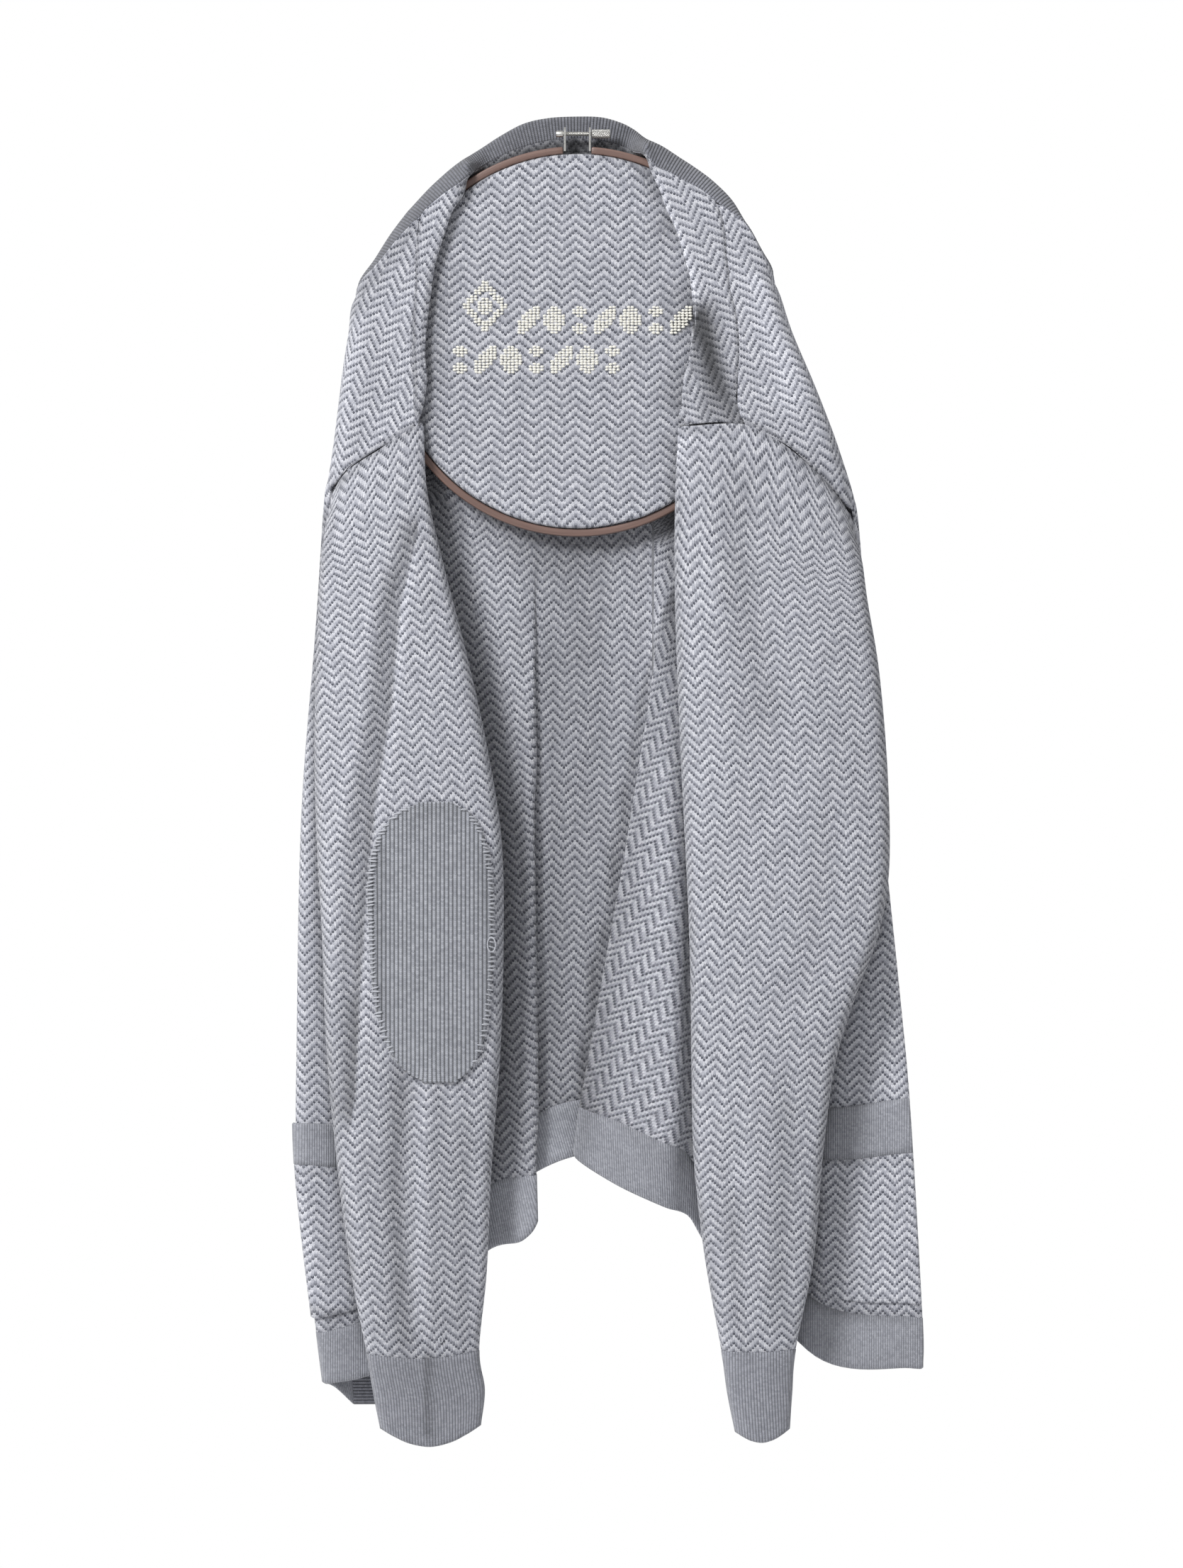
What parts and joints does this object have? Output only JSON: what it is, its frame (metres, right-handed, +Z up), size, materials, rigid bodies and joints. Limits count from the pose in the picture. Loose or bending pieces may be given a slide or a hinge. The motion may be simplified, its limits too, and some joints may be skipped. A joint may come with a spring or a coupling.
{
  "type": "wool cardigan hung from an embroidery hoop",
  "caption": "Grey herringbone wool cardigan with ribbed trims and a darned elbow, its upper back gripped and hung by a round wooden embroidery hoop.",
  "frame": {"origin": "middle of the hoop's tension screw, where the whole thing hangs; mount hang_point", "axes": "+Z up; the viewer stands on the -Y side and sees the outside of the cardigan's back; +X to the viewer's right"},
  "size_m": [0.4154, 0.0696, 0.872],
  "materials": {
    "herringbone_knit": "two-tone grey herringbone jacquard wool knit",
    "rib_knit": "plain grey wool rib",
    "darned_patch": "plain grey wool rib patch sewn on by hand",
    "hoop_wood": "varnished reddish-brown wood",
    "screw_steel": "bright plated steel"
  },
  "bodies": {
    "root": {"back": "herringbone_knit", "hem_back": "rib_knit", "front_left": "herringbone_knit", "hem_left": "rib_knit", "pocket_left": "herringbone_knit", "pocket_rib_left": "rib_knit", "front_right": "herringbone_knit", "hem_right": "rib_knit", "pocket_right": "herringbone_knit", "pocket_rib_right": "rib_knit", "sleeve_left": "herringbone_knit", "cuff_left": "rib_knit", "elbow_patch": "darned_patch", "sleeve_right": "herringbone_knit", "cuff_right": "rib_knit", "front_band": "rib_knit", "hoop_outer": "hoop_wood", "hoop_inner": "hoop_wood", "bracket_left": "screw_steel", "bracket_right": "screw_steel", "tension_screw": "screw_steel", "barrel_nut": "screw_steel"}
  },
  "joints": []
}
